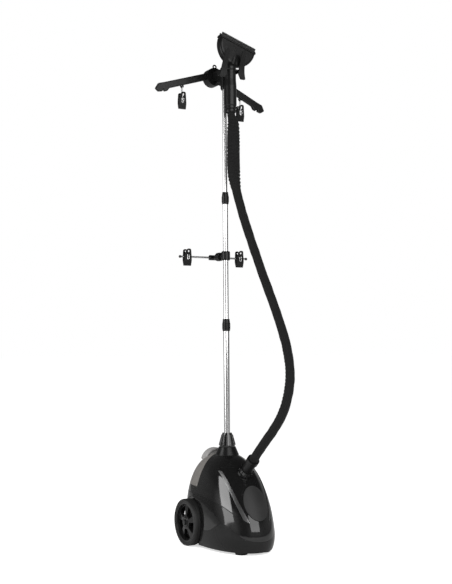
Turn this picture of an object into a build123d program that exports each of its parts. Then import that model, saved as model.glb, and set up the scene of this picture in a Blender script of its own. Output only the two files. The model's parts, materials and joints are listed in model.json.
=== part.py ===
from build123d import *

import os
from math import cos, radians, sin, tan

# Upright garment steamer: a wheeled base with a lift-out water tank, a three-section pole,
# a folding hanger, a trouser rail and a steam handset on a hose.
# Millimetres, +Z up, the front faces -Y, X = 0 is the middle, the floor is Z = 0.
# Places are given as (x, ahead, z), where ahead is the distance in front of the pole's axis.

# Clearances
FIT = 0.1
RUNNING_GAP = 0.3
SEAM = 0.6
WALL = 3.0

# Base body
POLE_Y = 26.0
BODY_FRONT = 208.0
BODY_REAR = 155.0
BODY_HALF_WIDTH = 110.0
BODY_BOTTOM = 8.0
WAIST_Z = 45.0
CROWN_Z = 290.0
CROWN_SHARE = 0.985
TUCK = 12.0
NOSE_FULLNESS = 0.6
TAIL_FULLNESS = 0.76
SEAM_REAR_Z = 164.0
SEAM_FRONT_Z = 84.0
PAN_EDGE_Z = 64.0
PAN_CREST_Z = 91.0
PAN_NOSE_Z = 46.0
PANEL_TOP_Z = 252.0
PANEL_TOP_HALF = 58.0
PANEL_MID_Z = 172.0
PANEL_MID_HALF = 53.0
PANEL_LOW_Z = 94.0
PANEL_LOW_HALF = 31.0
PANEL_FOOT_HALF = 18.0
TRIM_TOP_WIDTH = 5.0
TRIM_MID_WIDTH = 8.0
TRIM_LOW_WIDTH = 13.0
TRIM_BASE = 0.5
TRIM_TOP_Z = 242.0
TRIM_PROUD = 1.2
TRIM_RIBS = 3

# Water tank
TANK_FRONT = -30.0
DECK_Z = 186.0
TANK_WALL = 2.5
TANK_LIFT = 150.0
GRIP_AHEAD = -78.0
GRIP_SPAN = 90.0
GRIP_TOP_Z = 299.0
GRIP_THICK = 7.0
GRIP_WIDTH = 32.0
GRIP_RECESS_Z = 268.0
VALVE_AHEAD = -95.0
VALVE_RADIUS = 12.0
VALVE_DROP = 14.0

# Wheels and feet
WHEEL_RADIUS = 73.0
TYRE_THICK = 12.0
WHEEL_WIDTH = 32.0
WHEEL_FACE_X = 128.0
WHEEL_AHEAD = -54.0
AXLE_RADIUS = 4.0
WHEEL_HUB = 15.0
SPOKES = 5
SPOKE_ANGLE = 26.0
WELL_GAP = 6.0
CAP_RADIUS = 9.0
CAP_THICK = 4.0
POST_WIDTH = 18.0
FOOT_RADIUS = 20.0
FOOT_X = 40.0
FOOT_AHEAD = 150.0

# Foot pedal on the front panel
PEDAL_AHEAD = 172.0
PEDAL_Z = 152.0
PEDAL_HEIGHT = 112.0
PEDAL_WIDTH = 78.0
PEDAL_TILT = 28.0
PEDAL_PROUD = 2.4
PEDAL_TRAVEL = 4.0
PEDAL_GAP = 0.8
PEDAL_DEPTH = 5.0
SWITCH_AHEAD = 140.0
SWITCH_FOOT_Z = 118.0

# Hose port and hose
PORT_AHEAD = 110.0
PORT_Z = 237.5
PORT_TILT = 42.0
PORT_FLANGE_RADIUS = 25.0
PORT_FLANGE_TOP = 5.0
PORT_DEPTH = 24.0
PORT_BORE = 9.0
PORT_RING_RADIUS = 22.5
PORT_RING_LENGTH = 12.0
RING_RIBS = 8
SLEEVE_LENGTH = 36.0
SLEEVE_LOW_RADIUS = 17.5
SLEEVE_TOP_RADIUS = 16.5
CUFF_RADIUS = 19.5
CUFF_LENGTH = 14.0
HOSE_RADIUS = 14.5
HOSE_BORE = 9.0
HOSE_SPARE = 40.0
HOSE_LEAD = 70.0
HOSE_BEND_Z = 1330.0

# Pole
LOWER_RADIUS = 9.6
MIDDLE_RADIUS = 8.3
UPPER_RADIUS = 7.0
TUBE_WALL = 1.0
LOWER_FOOT_Z = 152.0
LOWER_LOCK_Z = 676.0
UPPER_LOCK_Z = 1085.0
LOCK_HEIGHT = 39.0
LOCK_STEP = 27.0
LOCK_WALL = 2.6
LOCK_RIBS = 10
TUBE_OVERLAP = 110.0
CONE_FOOT_RADIUS = 37.0
CONE_TOP_RADIUS = 27.0
CONE_FOOT_Z = 284.0
CONE_TOP_Z = 308.0
SOCKET_WALL = 2.6
NUT_FOOT_RADIUS = 25.0
NUT_TOP_RADIUS = 15.0
NUT_HEIGHT = 44.0
NUT_RIBS = 12

# Hanger
HUB_FOOT_Z = 1458.0
HUB_TOP_Z = 1534.0
HUB_RADIUS = 13.0
DRUM_RADIUS = 30.0
DRUM_AHEAD = -60.0
DRUM_Z = 1516.0
DRUM_PLATE = 8.0
ARM_THICK = 12.0
ARM_HEIGHT = 22.0
ARM_LENGTH = 222.0
ARM_RISE = 8.0
RIGHT_DROOP = 17.5
LEFT_DROOP = 25.0
PIN_RADIUS = 5.0
EYE_RADIUS = 5.5
EYE_WIRE = 2.2
CLIP_ALONG = 124.0

# Spring clips on the arms and the trouser rail
CLIP_WIDTH = 26.0
CLIP_DROP = 29.0
CLIP_RISE = 25.0
JAW_THICK = 3.0
EAR_HOLE = 3.2
CLIP_PIN = 1.6
LINK_WIRE = 1.2
LINK_HALF = 4.0
LINK_DROP = 48.0
LUG_THICK = 4.0
LUG_RADIUS = 6.0
LUG_HOLE = 2.4
EAR_RADIUS = 8.5
KNUCKLE_IN = 3.0
KNUCKLE_OUT = 7.5

# Trouser rail
RAIL_Z = 918.0
RAIL_AHEAD = -80.0
RAIL_RADIUS = 3.0
RAIL_HALF = 124.0
RAIL_TIP = 4.6
RAIL_CLIP_X = 98.0
CLAMP_HEIGHT = 29.0
CLAMP_WALL = 5.5
CLAMP_ARM = 7.0
KNOB_RADIUS = 14.0
KNOB_LENGTH = 22.0
KNOB_AHEAD = -42.0
KNOB_FLUTES = 8
BOSS_RADIUS = 8.5
BOSS_HALF = 15.0

# Handset
HANDSET_AHEAD = 38.0
CRADLE_Z = 1508.0
CRADLE_BAR = 3.5
CRADLE_X = 24.5
CRADLE_DEPTH = 18.0
PRONG_WIDTH = 22.0
PRONG_THICK = 3.4
PRONG_TOP_Z = 1570.0
PRONG_LEAN = 26.0
PRONG_TAIL = 24.0
HANDLE_RADIUS = 20.0
HANDLE_NECK = 18.5
HANDLE_WALL = 2.4
HANDLE_FOOT_Z = 1396.0
CUFF_DROP = 20.0
CUFF_WALL = 4.0
COLLAR_HALF = 29.0
COLLAR_THICK = 4.0
NECK_BALL = 19.0
STEAM_TUBE = 6.0
HEAD_CANT = 18.0
HEAD_WIDTH = 134.0
HEAD_HEIGHT = 74.0
HEAD_DROP = 66.0
HEAD_THICK = 30.0
HEAD_WALL = 2.4
NECK_HALF = 17.0
PLATE_THICK = 3.0
STEAM_HOLES = 9
BRUSH_GAP = 4.0
BRUSH_WIDTH = 138.0
BRUSH_THICK = 6.0
BRUSH_DEPTH = 24.0
BRISTLE_LENGTH = 12.0
BRISTLE_SIDE = 1.1
BRISTLE_COLUMNS = 52
BRISTLE_ROWS = 3
BRISTLE_BACKING = 1.2
BRUSH_SLOT = 8.0
BRUSH_CLIP = 50.0
BRUSH_LIFT = 25.0

# Boiler and fittings inside the base
BOILER_AHEAD = 72.0
BOILER_RADIUS = 46.0
BOILER_FOOT = 12.0
BOILER_HEIGHT = 78.0
PIPE_RADIUS = 7.0
FEED_RADIUS = 5.0
FEED_INLET = 8.0
FEED_Z = 34.0
GLAND_Z = 36.0
GLAND_BORE = 3.6
GLAND_WALL = 3.0
GLAND_LENGTH = 22.0

# Hose route from the port cuff to the handset, as (x, ahead, z)
HOSE_ROUTE = [
    (22, 268, 400),
    (38, 286, 470),
    (54, 280, 545),
    (65, 246, 622),
    (69, 200, 700),
    (66, 158, 776),
    (59, 115, 856),
    (49, 80, 936),
    (36, 53, 1016),
    (22, 38, 1096),
    (10, 33, 1176),
    (3, 35, 1250),
]
HOSE_SPLIT = 7

# Places that follow from the sizes above
DRUM_BACK = DRUM_AHEAD - DRUM_PLATE
RIGHT_ARM_FRONT = DRUM_BACK - RUNNING_GAP
LEFT_ARM_FRONT = RIGHT_ARM_FRONT - ARM_THICK - RUNNING_GAP
DRUM_CAP_FRONT = LEFT_ARM_FRONT - ARM_THICK - RUNNING_GAP
WELL_RADIUS = WHEEL_RADIUS + WELL_GAP
WELL_X = WHEEL_FACE_X - WHEEL_WIDTH - RUNNING_GAP - 3
FLOOR_TOP = BODY_BOTTOM + WALL
LOCK_RADIUS = LOWER_RADIUS + LOCK_WALL
SOCKET_RADIUS = LOWER_RADIUS + FIT + SOCKET_WALL
COLLAR_Z = CRADLE_Z + CRADLE_BAR + RUNNING_GAP
BALL_Z = COLLAR_Z + COLLAR_THICK + 6
CUFF_FOOT_Z = HANDLE_FOOT_Z - CUFF_DROP
HOSE_TOP_Z = HANDLE_FOOT_Z + HOSE_SPARE
UP = (Align.CENTER, Align.CENTER, Align.MIN)


def place(x, ahead, z):
    """A point of the part from its place beside, ahead of and above the pole's foot."""
    return Vector(x, POLE_Y - ahead, z)


def rod(start, end, radius, end_radius=None):
    """A round bar or a cone between two points."""
    start, end = Vector(*start), Vector(*end)
    run = end - start
    base = Plane(origin=start, z_dir=run)
    if end_radius is None:
        return Solid.make_cylinder(radius, run.length, base)
    return Solid.make_cone(radius, end_radius, run.length, base)


def turned(points, centre):
    """A ring turned about a vertical axis from (radius, z) corners."""
    face = make_face(Polyline(*[(r, 0, z) for r, z in points], close=True))
    return Pos(centre.X, centre.Y, 0) * revolve(face, Axis.Z)


def side_prism(outline, half_width):
    """A prism across the part from a closed side view in (ahead, z)."""
    points = [place(0, ahead, z) for ahead, z in outline]
    face = make_face(Polyline(*points, close=True))
    return extrude(face, half_width, dir=(1, 0, 0), both=True)


def mirrored(shape):
    return mirror(shape, Plane.YZ)


# Skin of the base: a teardrop plan that draws in towards the crown


def drawn_in(z, most, inset, power, bow):
    """How far the skin reaches at a height, with an inset measured inwards."""
    crown = CROWN_Z - inset
    share = max(0.0, (z - WAIST_Z) / (crown - WAIST_Z))
    tuck = TUCK * max(0.0, 1 - z / WAIST_Z) ** 2
    return (most - inset - tuck) * (1 - share**power) ** (1 / bow)


def plan_section(z, inset):
    """The closed plan of the skin at a height, round at the nose and squarer at the tail."""
    front = drawn_in(z, BODY_FRONT, inset, 1.6, 1.8)
    rear = drawn_in(z, BODY_REAR, inset, 4.0, 2.4)
    half = drawn_in(z, BODY_HALF_WIDTH, inset, 2.2, 2.3)
    nose = [(0, front), (NOSE_FULLNESS * half, front), (half, NOSE_FULLNESS * front), (half, 0)]
    tail = [(half, 0), (half, -TAIL_FULLNESS * rear), (TAIL_FULLNESS * half, -rear), (0, -rear)]
    side = [Bezier(*[place(x, ahead, z) for x, ahead in curve]) for curve in (nose, tail)]
    return make_face(side + [mirrored(edge) for edge in side])


def skin(inset=0.0, bottom=BODY_BOTTOM):
    """The solid inside the base's skin, or inside a surface set in or out from it."""
    rise = CROWN_SHARE * (CROWN_Z - inset - WAIST_Z)
    levels = [bottom, (bottom + WAIST_Z) / 2, WAIST_Z]
    levels += [WAIST_Z + rise * share for share in (0.2, 0.4, 0.58, 0.74, 0.87, 0.95, 1)]
    return loft([plan_section(z, inset) for z in levels])


def below_seam(drop=0.0):
    """Everything under the seam between the hood and the lower body."""
    front, rear = BODY_FRONT + 40, -BODY_REAR - 40
    curve = [
        (rear, SEAM_REAR_Z),
        (0, SEAM_REAR_Z),
        (60, SEAM_REAR_Z - 7),
        (120, SEAM_REAR_Z - 24),
        (166, SEAM_FRONT_Z + 30),
        (front, SEAM_FRONT_Z - 16),
    ]
    return under_curve(curve, drop)


def below_pan_edge(drop=0.0):
    """Everything under the wavy top edge of the pan."""
    front, rear = BODY_FRONT + 40, -BODY_REAR - 40
    curve = [
        (rear, PAN_EDGE_Z),
        (40, PAN_EDGE_Z - 2),
        (70, PAN_EDGE_Z + 2),
        (118, PAN_CREST_Z),
        (176, PAN_NOSE_Z + 14),
        (front, PAN_NOSE_Z - 6),
    ]
    return under_curve(curve, drop)


def under_curve(curve, drop):
    top = Spline(*[place(0, ahead, z - drop) for ahead, z in curve])
    corners = [(curve[-1][0], -20), (curve[0][0], -20)]
    rest = Polyline(top @ 1, *[place(0, ahead, z) for ahead, z in corners], top @ 0)
    return extrude(make_face([top, rest]), 2 * BODY_HALF_WIDTH, dir=(1, 0, 0), both=True)


def panel_edge(shift):
    """The curved edge between the hood and the front panel, as (half width, z) points."""
    return [
        (PANEL_LOW_HALF + shift, PANEL_LOW_Z),
        (PANEL_MID_HALF + shift, PANEL_MID_Z),
        (PANEL_TOP_HALF + shift, PANEL_TOP_Z),
    ]


def front_prism(edges):
    """A prism through the front of the base from a closed front view."""
    return extrude(make_face(edges), BODY_FRONT, dir=(0, -1, 0))


def front_view(x, z):
    return Vector(x, place(0, BODY_FRONT / 4, 0).Y, z)


def front_wedge(shrink=0.0):
    """The front panel's share of the skin, narrowing downwards between the trims."""
    edge = ThreePointArc(*[front_view(x, z) for x, z in panel_edge(-shrink)])
    foot = front_view(PANEL_FOOT_HALF - shrink, WAIST_Z)
    top = front_view(0, PANEL_TOP_Z - shrink)
    half = [Line(edge @ 0, foot), Line(foot, front_view(0, WAIST_Z)), edge, Line(edge @ 1, top)]
    half.append(Line(top, front_view(0, WAIST_Z)))
    side = front_prism(half)
    return side + mirrored(side)


def wheel_cups(radius, depth_in):
    """Cylinders round both wheels, open outwards, from a depth inside the skin."""
    side = rod(place(WELL_X - depth_in, WHEEL_AHEAD, WHEEL_RADIUS), place(200, WHEEL_AHEAD, WHEEL_RADIUS), radius)
    return Part() + side + mirrored(side)


def base_shell():
    """The whole wall of the base with its wheel wells, before it is split into pieces."""
    outer, inner = skin(), skin(WALL, FLOOR_TOP)
    wells = (wheel_cups(WELL_RADIUS + WALL, WALL) & outer) - wheel_cups(WELL_RADIUS, 0)
    return (outer - inner - wheel_cups(WELL_RADIUS, 0)) + wells


def port_axis():
    return Vector(0, -cos(radians(PORT_TILT)), sin(radians(PORT_TILT)))


def along_port(distance):
    return place(0, PORT_AHEAD, PORT_Z) + port_axis() * distance


def pedal_axis():
    return Vector(0, -cos(radians(PEDAL_TILT)), sin(radians(PEDAL_TILT)))


def pedal_prism(grow=0.0):
    """An oval bar through the front panel, square to the pedal."""
    middle = place(0, PEDAL_AHEAD, PEDAL_Z)
    frame = Plane(origin=middle - pedal_axis() * 60, x_dir=(1, 0, 0), z_dir=pedal_axis())
    oval = Ellipse(PEDAL_WIDTH / 2 + grow, PEDAL_HEIGHT / 2 + grow)
    return extrude(frame * oval, 120)


def hood(shell):
    """The glossy upper cover, with the deck and the bulkhead that the tank stands against."""
    bay = side_prism([(TANK_FRONT, DECK_Z), (TANK_FRONT, 400), (-300, 400), (-300, DECK_Z)], 300)
    wedge = front_wedge()
    cover = shell - below_seam() - bay - wedge
    inner = skin(WALL, FLOOR_TOP)
    walls = side_prism([
        (TANK_FRONT + WALL, DECK_Z - WALL), (TANK_FRONT + WALL, 400), (TANK_FRONT, 400),
        (TANK_FRONT, DECK_Z), (-300, DECK_Z), (-300, DECK_Z - WALL),
    ], 300)
    cover += walls & inner
    cover -= rod(place(0, 0, 200), place(0, 0, 400), SOCKET_RADIUS + FIT)
    seat = place(0, VALVE_AHEAD, 0)
    cover -= rod(seat + Vector(0, 0, DECK_Z - 20), seat + Vector(0, 0, DECK_Z + 5), VALVE_RADIUS + WALL + FIT)
    return cover


def lower_body(shell):
    """The glossy lower cover: both flanks, the bumper and the front panel."""
    body = shell & (below_seam(SEAM) + front_wedge(SEAM))
    body -= below_pan_edge()
    body -= pedal_prism(PEDAL_GAP)
    body -= rod(along_port(-40), along_port(40), PORT_BORE + WALL + FIT)
    return body - across(-200, 200, AXLE_RADIUS + FIT)


def pan(shell):
    """The matte tray that carries the boiler, the axle, the switch and the feet."""
    tray = shell & below_pan_edge(SEAM)
    for sign in (-1, 1):
        x = sign * (WELL_X - WALL - POST_WIDTH / 2)
        post = Pos(x, POLE_Y - WHEEL_AHEAD, BODY_BOTTOM + 1) * Box(POST_WIDTH, 24, WHEEL_RADIUS - 12, align=UP)
        tray += post + across(x - POST_WIDTH / 2, x + POST_WIDTH / 2, AXLE_RADIUS + 7)
    switch_post = Pos(place(0, SWITCH_AHEAD, BODY_BOTTOM + 1)) * Box(20, 6, SWITCH_FOOT_Z - BODY_BOTTOM - 1, align=UP)
    tray += switch_post
    tray -= across(-200, 200, AXLE_RADIUS + FIT)
    tray -= rod(place(0, -BODY_REAR / 2, GLAND_Z), place(0, -300, GLAND_Z), GLAND_BORE + GLAND_WALL + FIT)
    return tray


def across(start_x, end_x, radius):
    """A bar along the wheels' axle."""
    return rod(place(start_x, WHEEL_AHEAD, WHEEL_RADIUS), place(end_x, WHEEL_AHEAD, WHEEL_RADIUS), radius)


def trim_band(start_share, end_share, proud):
    """Part of the trim's width, as a layer on the hood that stands proud of the skin."""
    widths = (TRIM_LOW_WIDTH, TRIM_MID_WIDTH, TRIM_TOP_WIDTH)
    sides = []
    for share in (start_share, end_share):
        points = [(x + SEAM + share * width, z) for (x, z), width in zip(panel_edge(0), widths)]
        sides.append(ThreePointArc(*[front_view(x, z) for x, z in points]))
    near, far = sides
    band = front_prism([near, far, Line(near @ 0, far @ 0), Line(near @ 1, far @ 1)])
    ceiling = Pos(0, 0, TRIM_TOP_Z) * Box(400, 800, 200, align=UP)
    return (band & skin(-proud)) - skin() - ceiling - below_seam()


def front_trims():
    """The ribbed strips along both edges of the front panel."""
    strip = trim_band(0, 1, TRIM_BASE)
    for rib in range(TRIM_RIBS):
        strip += trim_band(rib / TRIM_RIBS, (rib + 0.55) / TRIM_RIBS, TRIM_PROUD)
    return Part() + strip + mirrored(strip)


def foot_pedal():
    """The oval foot pedal, curved like the panel that it stands proud of."""
    return pedal_prism() & (skin(-PEDAL_PROUD) - skin(PEDAL_DEPTH))


def pedal_switch():
    """The switch on its post behind the pedal, with its plunger."""
    body = Pos(place(0, SWITCH_AHEAD, SWITCH_FOOT_Z)) * Box(20, 14, 26, align=UP)
    tip = place(0, PEDAL_AHEAD, PEDAL_Z) - pedal_axis() * (PEDAL_DEPTH + PEDAL_TRAVEL + 4)
    return body + rod(tip - pedal_axis() * 22, tip, 3)


def front_feet():
    foot = rod(place(FOOT_X, FOOT_AHEAD, 0), place(FOOT_X, FOOT_AHEAD, BODY_BOTTOM), FOOT_RADIUS - 1.5, FOOT_RADIUS)
    return Part() + foot + mirrored(foot)


def cord_gland():
    """The grommet in the rear wall that a mains cord would leave through."""
    start, end = -BODY_REAR + 8, -BODY_REAR - GLAND_LENGTH + 6
    axis = [place(0, ahead, GLAND_Z) for ahead in (start, end)]
    body = rod(axis[0], axis[1], GLAND_BORE + GLAND_WALL)
    flange = rod(place(0, -BODY_REAR - 8, GLAND_Z), place(0, -BODY_REAR + 4, GLAND_Z), GLAND_BORE + 2 * GLAND_WALL)
    return body + (flange - skin()) - rod(axis[0], axis[1], GLAND_BORE)


# Water tank


def bay_prism(gap, lower=0.0):
    """The tank's share of the skin, behind the bulkhead and above the deck."""
    front, foot = TANK_FRONT - gap, DECK_Z + gap - lower
    return side_prism([(front, foot), (front, 400), (-300, 400), (-300, foot)], 300)


def grip_pocket(grow=0.0):
    """The finger pocket in the tank's top, under the grip."""
    size = (GRIP_SPAN - 26 + 2 * grow, GRIP_WIDTH + 24 + 2 * grow, 80)
    pocket = Pos(place(0, GRIP_AHEAD, GRIP_RECESS_Z - grow)) * Box(*size, align=UP)
    return fillet(pocket.edges().filter_by(Axis.Z), 9)


def water_tank():
    block = skin() & bay_prism(RUNNING_GAP)
    cavity = skin(TANK_WALL) & bay_prism(RUNNING_GAP + TANK_WALL)
    seat = place(0, VALVE_AHEAD, DECK_Z)
    hole = rod(seat, seat + Vector(0, 0, 12), VALVE_RADIUS - 3)
    return block - (cavity - grip_pocket(TANK_WALL)) - grip_pocket() - hole


def tank_grip():
    """The arched grip that bridges the finger pocket."""
    half, drop = GRIP_SPAN / 2, GRIP_SPAN * 0.36
    outer = [(-half, GRIP_TOP_Z - drop), (0, GRIP_TOP_Z), (half, GRIP_TOP_Z - drop)]
    inner = [(x * (1 - GRIP_THICK / half), z - GRIP_THICK) for x, z in outer]
    arcs = [ThreePointArc(*[(x, place(0, GRIP_AHEAD, 0).Y, z) for x, z in arc]) for arc in (outer, inner)]
    face = make_face([*arcs, Line(arcs[0] @ 0, arcs[1] @ 0), Line(arcs[0] @ 1, arcs[1] @ 1)])
    arch = extrude(face, GRIP_WIDTH / 2, dir=(0, 1, 0), both=True)
    arch = fillet(arch.edges().filter_by(GeomType.CIRCLE), GRIP_THICK * 0.4)
    return arch - skin()


def tank_valve():
    """The screw cap under the tank, with the pin that opens on the seat."""
    seat = place(0, VALVE_AHEAD, DECK_Z + RUNNING_GAP)
    neck = rod(seat, seat - Vector(0, 0, VALVE_DROP), VALVE_RADIUS)
    plug = rod(seat, seat + Vector(0, 0, 6), VALVE_RADIUS - 3 - FIT)
    pin = rod(seat - Vector(0, 0, VALVE_DROP), seat - Vector(0, 0, VALVE_DROP + 5), 2.5)
    return Part() + neck + plug + pin


def valve_seat():
    """The cup under the deck that takes the tank's valve and feeds the boiler."""
    axis = place(0, VALVE_AHEAD, 0)
    inner, outer = VALVE_RADIUS + RUNNING_GAP, VALVE_RADIUS + WALL
    floor, top = DECK_Z - VALVE_DROP - 8, DECK_Z
    cup = turned([
        (0, floor - WALL), (outer, floor - WALL), (outer, DECK_Z - 2 * WALL), (outer + 8, DECK_Z - 2 * WALL),
        (outer + 8, DECK_Z - WALL), (outer, DECK_Z - WALL), (outer, top), (inner, top), (inner, floor), (0, floor),
    ], axis)
    spout = rod(axis + Vector(0, 0, floor - WALL), axis + Vector(0, 0, floor - WALL - 10), FEED_RADIUS)
    drain = rod(axis + Vector(0, 0, floor), axis + Vector(0, 0, floor - WALL - 10), FEED_RADIUS - 2)
    return cup + spout - drain


# Boiler and pipes


def boiler():
    """The cast boiler with its element ring and terminals, on three legs."""
    axis = place(0, BOILER_AHEAD, 0)
    foot = FLOOR_TOP + BOILER_FOOT
    top = foot + BOILER_HEIGHT
    pot = turned([(0, foot), (BOILER_RADIUS, foot), (BOILER_RADIUS, top - 8), (BOILER_RADIUS - 8, top), (0, top)], axis)
    pot += turned([(0, foot + 12), (BOILER_RADIUS + 5, foot + 12), (BOILER_RADIUS + 5, foot + 22), (0, foot + 22)], axis)
    pot += rod(axis + Vector(0, 0, top - 2), axis + Vector(0, 0, top + 8), PIPE_RADIUS + 3)
    for turn in (30, 150, 270):
        spot = axis + Vector((BOILER_RADIUS - 8) * cos(radians(turn)), (BOILER_RADIUS - 8) * sin(radians(turn)), 0)
        pot += rod(spot + Vector(0, 0, FLOOR_TOP), spot + Vector(0, 0, foot + 2), 6)
    for x in (-12, 12):
        pot += rod(axis + Vector(x, -BOILER_RADIUS, foot + 17), axis + Vector(x, -BOILER_RADIUS - 16, foot + 17), 2)
    inlet = place(0, BOILER_AHEAD - BOILER_RADIUS, FEED_Z)
    return pot + rod(inlet + Vector(0, -6, 0), inlet + Vector(0, FEED_INLET, 0), FEED_RADIUS)


def thermostat():
    """The disc thermostat on the boiler's lid, with its two tabs."""
    top = FLOOR_TOP + BOILER_FOOT + BOILER_HEIGHT
    spot = place(20, BOILER_AHEAD - 14, top)
    disc = rod(spot, spot + Vector(0, 0, 8), 9)
    for x in (-4, 4):
        disc += Pos(spot + Vector(x, 0, 7)) * Box(1, 5, 9, align=UP)
    return disc


def pipe(points, radius, bend):
    path = FilletPolyline(*points, radius=bend)
    section = Plane(origin=path @ 0, z_dir=path % 0) * Circle(radius)
    return sweep(section, path)


def feed_tube():
    """The silicone tube from the valve seat down and forward to the boiler."""
    top = DECK_Z - VALVE_DROP - 8 - WALL - 10
    end = BOILER_AHEAD - BOILER_RADIUS - FEED_INLET
    return pipe([place(0, VALVE_AHEAD, top), place(0, VALVE_AHEAD, FEED_Z), place(0, end, FEED_Z)], FEED_RADIUS, 22)


def steam_pipe():
    """The pipe from the boiler's lid to the back of the hose port."""
    top = FLOOR_TOP + BOILER_FOOT + BOILER_HEIGHT + 8
    end = along_port(-PORT_DEPTH)
    rise = (end.Y - place(0, BOILER_AHEAD, 0).Y) / port_axis().Y
    corner = end - port_axis() * rise
    return pipe([place(0, BOILER_AHEAD, top), corner, end], PIPE_RADIUS, 14)


# Wheels


def wheel_frame():
    """The left wheel's frame: its origin inside, its Z along the axle outwards."""
    origin = place(WHEEL_FACE_X - WHEEL_WIDTH, WHEEL_AHEAD, WHEEL_RADIUS)
    return Plane(origin=origin, x_dir=(0, 0, 1), z_dir=(1, 0, 0))


def axle_turned(points):
    face = make_face(Polyline(*[(r, 0, h) for r, h in points], close=True))
    return revolve(face, Axis.Z)


def wheel():
    """The dished five-spoke wheel, without its tyre."""
    rim = WHEEL_RADIUS - TYRE_THICK
    dish = axle_turned([
        (AXLE_RADIUS + FIT, 3), (WHEEL_HUB, 3), (WHEEL_HUB, 16), (rim - 5, 11), (rim - 5, 3), (rim, 3),
        (rim, 29), (rim - 4, 29), (rim - 6, 21), (WHEEL_HUB + 3, 27), (WHEEL_HUB, 30), (AXLE_RADIUS + FIT, 30),
    ])
    inner, outer = WHEEL_HUB + 6, rim - 9
    half = radians(180 / SPOKES - SPOKE_ANGLE / 2)
    corners = [(r * cos(turn), r * sin(turn)) for r, turn in ((inner, -half), (outer, -half), (outer, half), (inner, half))]
    face = make_face([
        Line(corners[0], corners[1]),
        ThreePointArc(corners[1], (outer, 0), corners[2]),
        Line(corners[2], corners[3]),
        ThreePointArc(corners[3], (inner, 0), corners[0]),
    ])
    window = extrude(fillet(face.vertices(), 4), WHEEL_WIDTH)
    for spoke in range(SPOKES):
        dish -= Rot(0, 0, 360 / SPOKES * (spoke + 0.5)) * window
    return wheel_frame() * dish


def tyre():
    """The tyre, with round shoulders and two grooves in its tread."""
    rim, top = WHEEL_RADIUS - TYRE_THICK, WHEEL_RADIUS
    ring = axle_turned([
        (rim, 2), (top - 4, 0), (top - 1, 2), (top, 6), (top, WHEEL_WIDTH - 6), (top - 1, WHEEL_WIDTH - 2),
        (top - 4, WHEEL_WIDTH), (rim, WHEEL_WIDTH - 2),
    ])
    for middle in (WHEEL_WIDTH * 0.38, WHEEL_WIDTH * 0.62):
        ring -= axle_turned([(top - 1.5, middle - 1), (top + 1, middle - 1), (top + 1, middle + 1), (top - 1.5, middle + 1)])
    return wheel_frame() * ring


def wheel_axle():
    """The steel axle with a domed cap on each end."""
    end = WHEEL_FACE_X - 2 + RUNNING_GAP
    bar = across(-end, end, AXLE_RADIUS)
    cap = across(end, end + CAP_THICK, CAP_RADIUS)
    cap = fillet(cap.edges().filter_by(GeomType.CIRCLE).sort_by(Axis.X)[-1], CAP_THICK * 0.7)
    return Part() + bar + cap + mirrored(cap)


# Pole


def pole_tube(radius, foot, top):
    axis = place(0, 0, 0)
    return turned([(radius - TUBE_WALL, foot), (radius, foot), (radius, top), (radius - TUBE_WALL, top)], axis)


def lower_tube():
    return pole_tube(LOWER_RADIUS, LOWER_FOOT_Z, LOWER_LOCK_Z + LOCK_STEP)


def middle_tube():
    foot = LOWER_LOCK_Z + LOCK_HEIGHT - TUBE_OVERLAP
    return pole_tube(MIDDLE_RADIUS, foot, UPPER_LOCK_Z + LOCK_STEP)


def upper_tube():
    foot = UPPER_LOCK_Z + LOCK_HEIGHT - TUBE_OVERLAP
    return pole_tube(UPPER_RADIUS, foot, HUB_TOP_Z - 2 * WALL)


def twist_lock(foot, outer_tube, inner_tube):
    """A ribbed twist lock that grips the inner tube at the top of the outer one."""
    low, high = outer_tube + RUNNING_GAP, inner_tube + RUNNING_GAP
    outer = outer_tube + LOCK_WALL
    step, top = foot + LOCK_STEP + RUNNING_GAP, foot + LOCK_HEIGHT
    axis = place(0, 0, 0)
    sleeve = turned([
        (low, foot), (outer - 0.8, foot), (outer, foot + 3), (outer, step), (outer - 1.6, top), (high, top),
        (high, step), (low, step),
    ], axis)
    for rib in range(LOCK_RIBS):
        turn = radians(360 / LOCK_RIBS * rib)
        spot = axis + Vector(outer * cos(turn), outer * sin(turn), 0)
        sleeve += rod(spot + Vector(0, 0, foot + 6), spot + Vector(0, 0, step - 2), 0.9)
    return sleeve


def pole_socket():
    """The cone on the hood with the sleeve that holds the pole's foot."""
    axis = place(0, 0, 0)
    bore, foot = LOWER_RADIUS + FIT, LOWER_FOOT_Z - 4
    cone = turned([(bore, 250), (CONE_FOOT_RADIUS, 250), (CONE_FOOT_RADIUS, CONE_FOOT_Z), (CONE_TOP_RADIUS, CONE_TOP_Z), (bore, CONE_TOP_Z)], axis)
    cone &= side_prism([(TANK_FRONT + SEAM, 200), (TANK_FRONT + SEAM, 400), (200, 400), (200, 200)], 200)
    sleeve = turned([
        (0, foot), (SOCKET_RADIUS, foot), (SOCKET_RADIUS, CONE_TOP_Z - 1), (bore, CONE_TOP_Z - 1),
        (bore, LOWER_FOOT_Z), (0, LOWER_FOOT_Z),
    ], axis)
    return (cone - skin()) + sleeve


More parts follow.
